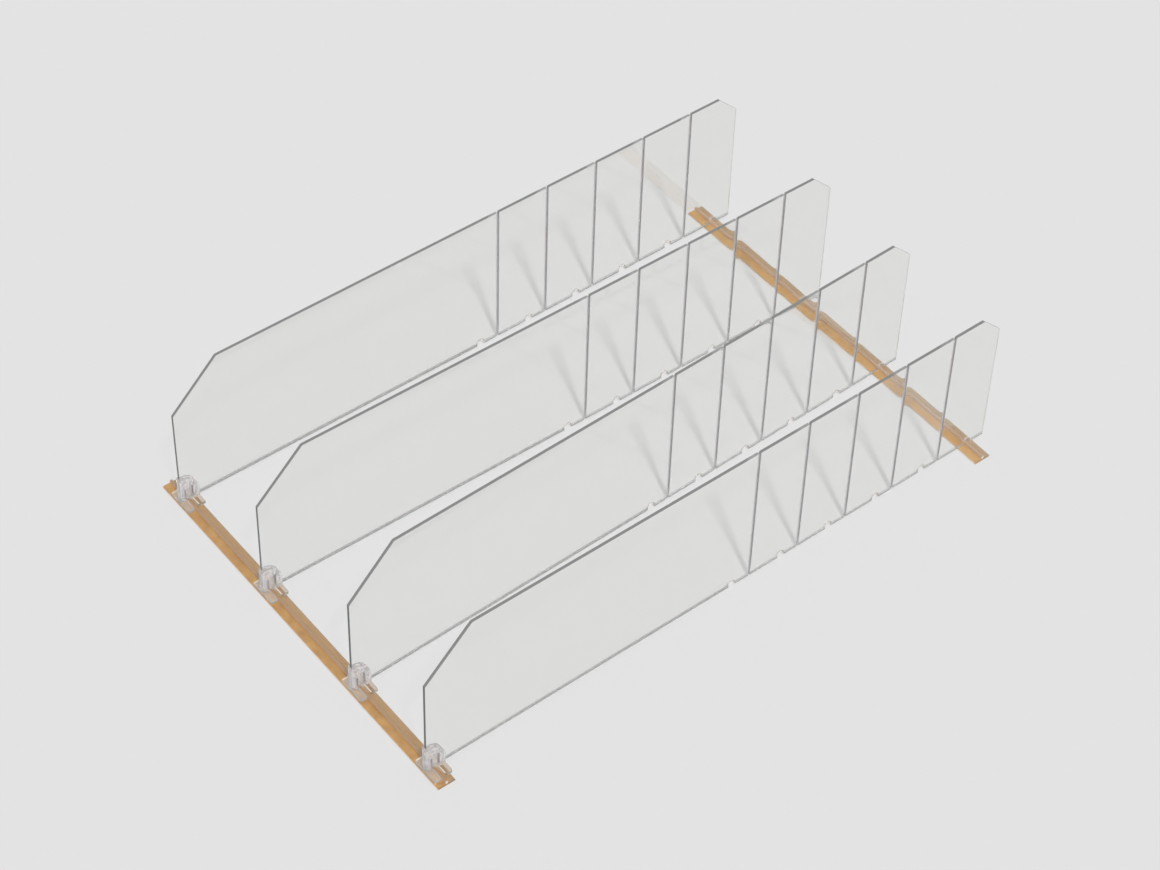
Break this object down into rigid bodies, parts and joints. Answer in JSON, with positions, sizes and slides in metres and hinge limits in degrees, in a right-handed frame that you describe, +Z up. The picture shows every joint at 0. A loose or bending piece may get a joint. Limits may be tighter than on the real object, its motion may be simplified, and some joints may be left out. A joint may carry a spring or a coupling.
{
  "type": "shelf divider set",
  "caption": "Clear break-off shelf dividers standing in sliding clips on a ridged adhesive strip at the front, with a notched back edge over a second strip.",
  "frame": {"origin": "on the shelf surface under the middle of the whole set's box", "axes": "+X along the strips to the right, +Y from the clips to the back of the sheets, +Z up"},
  "size_m": [0.298, 0.4522, 0.1137],
  "materials": {
    "clear_sheet": "clear polished sheet",
    "clear_clip": "clear moulded",
    "clear_strip": "clear extruded",
    "tape": "amber adhesive film",
    "liner": "coated brown paper"
  },
  "bodies": {
    "strips": {"front_strip": "clear_strip", "front_tape": "tape", "front_liner": "liner", "back_strip": "clear_strip", "back_tape": "tape", "back_liner": "liner"},
    "first_divider": {"divider_1": "clear_sheet", "clip_1": "clear_clip"},
    "second_divider": {"divider_2": "clear_sheet", "clip_2": "clear_clip"},
    "third_divider": {"divider_3": "clear_sheet", "clip_3": "clear_clip"},
    "fourth_divider": {"divider_4": "clear_sheet", "clip_4": "clear_clip"}
  },
  "joints": [
    {"name": "first_slide", "type": "slide", "parent": "strips", "child": "first_divider", "axis": [1, 0, 0], "range_m": [-0.009, 0.036]},
    {"name": "second_slide", "type": "slide", "parent": "strips", "child": "second_divider", "axis": [1, 0, 0], "range_m": [-0.036, 0.037]},
    {"name": "third_slide", "type": "slide", "parent": "strips", "child": "third_divider", "axis": [1, 0, 0], "range_m": [-0.037, 0.0273]},
    {"name": "fourth_slide", "type": "slide", "parent": "strips", "child": "fourth_divider", "axis": [1, 0, 0], "range_m": [-0.0273, 0.0045]}
  ]
}
